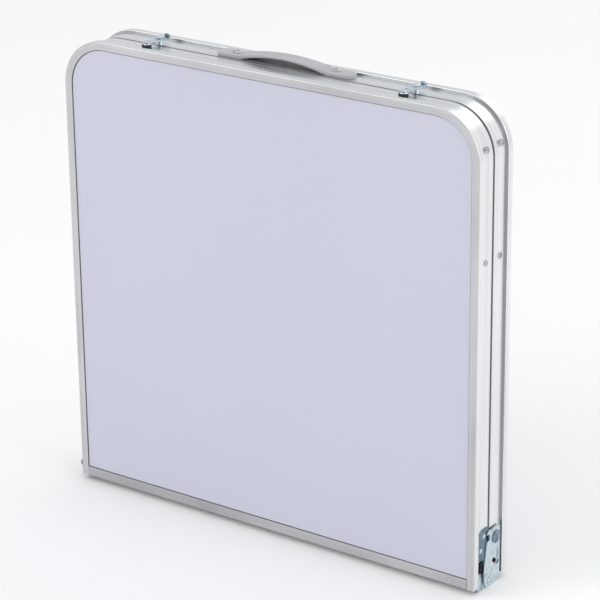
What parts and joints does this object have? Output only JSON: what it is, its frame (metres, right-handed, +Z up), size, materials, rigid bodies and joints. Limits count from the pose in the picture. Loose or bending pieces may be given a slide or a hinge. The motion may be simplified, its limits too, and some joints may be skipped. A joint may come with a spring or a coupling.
{
  "type": "folding table",
  "caption": "Suitcase-style folding table: two framed half-tops hinged at the fold edge, folding telescopic legs inside, swing latches and a strap handle.",
  "frame": {"origin": "on the surface the shut table stands on, under the middle of its width and the seam between its halves", "axes": "+Z up from fold edge to the carrying handle, +X along the width, front table surface faces -Y"},
  "size_m": [0.6205, 0.0746, 0.6163],
  "materials": {
    "frame_aluminium": "satin anodised extrusion, drawn along its length",
    "board_core": "dark fibreboard edge",
    "table_surface": "smooth pale lavender-grey laminate",
    "inner_aluminium": "mill finish",
    "leg_aluminium": "satin tube",
    "leg_plastic": "moulded black plastic",
    "black_rubber": "matt",
    "handle_plastic": "ribbed grey moulding",
    "rivet_metal": "plated, softly bright",
    "zinc_steel": "bright bluish zinc plating"
  },
  "bodies": {
    "front_half": {"front_frame": "frame_aluminium", "front_fold_rail": "frame_aluminium", "front_board": "board_core", "front_surface": "table_surface", "front_stiffener": "inner_aluminium", "front_corner_brackets": "inner_aluminium", "front_bar_clips": "leg_plastic", "front_wall_rivets": "rivet_metal", "front_spacers": "zinc_steel", "latch_washers": "black_rubber", "latch_rivets": "zinc_steel", "left_hinge_front_leaf": "zinc_steel", "right_hinge_front_leaf": "zinc_steel", "hinge_leaf_rivets": "zinc_steel"},
    "rear_half": {"rear_frame": "frame_aluminium", "rear_fold_rail": "frame_aluminium", "rear_board": "board_core", "rear_surface": "table_surface", "rear_stiffener": "inner_aluminium", "rear_corner_brackets": "inner_aluminium", "rear_bar_clips": "leg_plastic", "rear_wall_rivets": "rivet_metal", "rear_spacers": "zinc_steel", "carry_handle": "handle_plastic", "handle_screws": "rivet_metal", "latch_studs": "zinc_steel", "left_hinge_rear_leaf": "zinc_steel", "right_hinge_rear_leaf": "zinc_steel", "hinge_pins": "zinc_steel", "hinge_dome_rivets": "zinc_steel"},
    "left_latch": {"left_latch": "zinc_steel"},
    "right_latch": {"right_latch": "zinc_steel"},
    "front_legs": {"front_left_leg_tube": "leg_aluminium", "front_right_leg_tube": "leg_aluminium", "front_crossbar": "leg_aluminium", "front_leg_studs": "zinc_steel"},
    "front_left_inner_leg": {"front_left_inner_tube": "leg_aluminium", "front_left_foot": "leg_plastic"},
    "front_left_collar": {"front_left_collar": "leg_plastic"},
    "front_left_rail_link": {"front_left_rail_link": "zinc_steel"},
    "front_left_leg_link": {"front_left_leg_link": "zinc_steel"},
    "front_right_inner_leg": {"front_right_inner_tube": "leg_aluminium", "front_right_foot": "leg_plastic"},
    "front_right_collar": {"front_right_collar": "leg_plastic"},
    "front_right_rail_link": {"front_right_rail_link": "zinc_steel"},
    "front_right_leg_link": {"front_right_leg_link": "zinc_steel"},
    "rear_legs": {"rear_left_leg_tube": "leg_aluminium", "rear_right_leg_tube": "leg_aluminium", "rear_crossbar": "leg_aluminium", "rear_leg_studs": "zinc_steel"},
    "rear_left_inner_leg": {"rear_left_inner_tube": "leg_aluminium", "rear_left_foot": "leg_plastic"},
    "rear_left_collar": {"rear_left_collar": "leg_plastic"},
    "rear_left_rail_link": {"rear_left_rail_link": "zinc_steel"},
    "rear_left_leg_link": {"rear_left_leg_link": "zinc_steel"},
    "rear_right_inner_leg": {"rear_right_inner_tube": "leg_aluminium", "rear_right_foot": "leg_plastic"},
    "rear_right_collar": {"rear_right_collar": "leg_plastic"},
    "rear_right_rail_link": {"rear_right_rail_link": "zinc_steel"},
    "rear_right_leg_link": {"rear_right_leg_link": "zinc_steel"}
  },
  "joints": [
    {"name": "fold", "type": "hinge", "parent": "front_half", "child": "rear_half", "pos_m": [0, 0, 0.0075], "axis": [-1, 0, 0], "range_deg": [0, 180]},
    {"name": "left_latch_swing", "type": "hinge", "parent": "front_half", "child": "left_latch", "pos_m": [-0.187, -0.0168, 0.6095], "axis": [0, 0, -1], "range_deg": [0, 90]},
    {"name": "right_latch_swing", "type": "hinge", "parent": "front_half", "child": "right_latch", "pos_m": [0.187, -0.0168, 0.6095], "axis": [0, 0, -1], "range_deg": [0, 90]},
    {"name": "front_legs_swing", "type": "hinge", "parent": "front_half", "child": "front_legs", "pos_m": [0, -0.0158, 0.5598], "axis": [1, 0, 0], "range_deg": [0, 90]},
    {"name": "front_left_leg_extend", "type": "slide", "parent": "front_legs", "child": "front_left_inner_leg", "axis": [0, 0, -1], "range_m": [0, 0.265]},
    {"name": "front_left_collar_twist", "type": "hinge", "parent": "front_legs", "child": "front_left_collar", "pos_m": [-0.2755, -0.0158, 0.2248], "axis": [0, 0, 1], "range_deg": [0, 90]},
    {"name": "front_left_rail_link_fold", "type": "hinge", "parent": "front_half", "child": "front_left_rail_link", "pos_m": [-0.2755, -0.0158, 0.4228], "axis": [1, 0, 0], "range_deg": [0, 125.8]},
    {"name": "front_left_leg_link_fold", "type": "hinge", "parent": "front_legs", "child": "front_left_leg_link", "pos_m": [-0.2755, -0.0158, 0.3698], "axis": [-1, 0, 0], "range_deg": [0, 144.22]},
    {"name": "front_right_leg_extend", "type": "slide", "parent": "front_legs", "child": "front_right_inner_leg", "axis": [0, 0, -1], "range_m": [0, 0.265]},
    {"name": "front_right_collar_twist", "type": "hinge", "parent": "front_legs", "child": "front_right_collar", "pos_m": [0.2755, -0.0158, 0.2248], "axis": [0, 0, 1], "range_deg": [0, 90]},
    {"name": "front_right_rail_link_fold", "type": "hinge", "parent": "front_half", "child": "front_right_rail_link", "pos_m": [0.2755, -0.0158, 0.4228], "axis": [1, 0, 0], "range_deg": [0, 125.8]},
    {"name": "front_right_leg_link_fold", "type": "hinge", "parent": "front_legs", "child": "front_right_leg_link", "pos_m": [0.2755, -0.0158, 0.3698], "axis": [-1, 0, 0], "range_deg": [0, 144.22]},
    {"name": "rear_legs_swing", "type": "hinge", "parent": "rear_half", "child": "rear_legs", "pos_m": [0, 0.0158, 0.5598], "axis": [-1, 0, 0], "range_deg": [0, 90]},
    {"name": "rear_left_leg_extend", "type": "slide", "parent": "rear_legs", "child": "rear_left_inner_leg", "axis": [0, 0, -1], "range_m": [0, 0.265]},
    {"name": "rear_left_collar_twist", "type": "hinge", "parent": "rear_legs", "child": "rear_left_collar", "pos_m": [-0.246, 0.0158, 0.2248], "axis": [0, 0, 1], "range_deg": [0, 90]},
    {"name": "rear_left_rail_link_fold", "type": "hinge", "parent": "rear_half", "child": "rear_left_rail_link", "pos_m": [-0.246, 0.0158, 0.4228], "axis": [-1, 0, 0], "range_deg": [0, 125.8]},
    {"name": "rear_left_leg_link_fold", "type": "hinge", "parent": "rear_legs", "child": "rear_left_leg_link", "pos_m": [-0.246, 0.0158, 0.3698], "axis": [1, 0, 0], "range_deg": [0, 144.22]},
    {"name": "rear_right_leg_extend", "type": "slide", "parent": "rear_legs", "child": "rear_right_inner_leg", "axis": [0, 0, -1], "range_m": [0, 0.265]},
    {"name": "rear_right_collar_twist", "type": "hinge", "parent": "rear_legs", "child": "rear_right_collar", "pos_m": [0.246, 0.0158, 0.2248], "axis": [0, 0, 1], "range_deg": [0, 90]},
    {"name": "rear_right_rail_link_fold", "type": "hinge", "parent": "rear_half", "child": "rear_right_rail_link", "pos_m": [0.246, 0.0158, 0.4228], "axis": [-1, 0, 0], "range_deg": [0, 125.8]},
    {"name": "rear_right_leg_link_fold", "type": "hinge", "parent": "rear_legs", "child": "rear_right_leg_link", "pos_m": [0.246, 0.0158, 0.3698], "axis": [1, 0, 0], "range_deg": [0, 144.22]}
  ],
  "couplings": [
    {"joint": "front_legs_swing", "follows": "fold", "ratio": 0.5},
    {"joint": "front_left_leg_extend", "follows": "fold", "m_per_rad": 0.084351},
    {"joint": "front_left_rail_link_fold", "follows": "fold", "ratio": 0.69885},
    {"joint": "front_left_leg_link_fold", "follows": "fold", "ratio": 0.80115},
    {"joint": "front_right_leg_extend", "follows": "fold", "m_per_rad": 0.084351},
    {"joint": "front_right_rail_link_fold", "follows": "fold", "ratio": 0.69885},
    {"joint": "front_right_leg_link_fold", "follows": "fold", "ratio": 0.80115},
    {"joint": "rear_legs_swing", "follows": "fold", "ratio": 0.5},
    {"joint": "rear_left_leg_extend", "follows": "fold", "m_per_rad": 0.084351},
    {"joint": "rear_left_rail_link_fold", "follows": "fold", "ratio": 0.69885},
    {"joint": "rear_left_leg_link_fold", "follows": "fold", "ratio": 0.80115},
    {"joint": "rear_right_leg_extend", "follows": "fold", "m_per_rad": 0.084351},
    {"joint": "rear_right_rail_link_fold", "follows": "fold", "ratio": 0.69885},
    {"joint": "rear_right_leg_link_fold", "follows": "fold", "ratio": 0.80115}
  ]
}
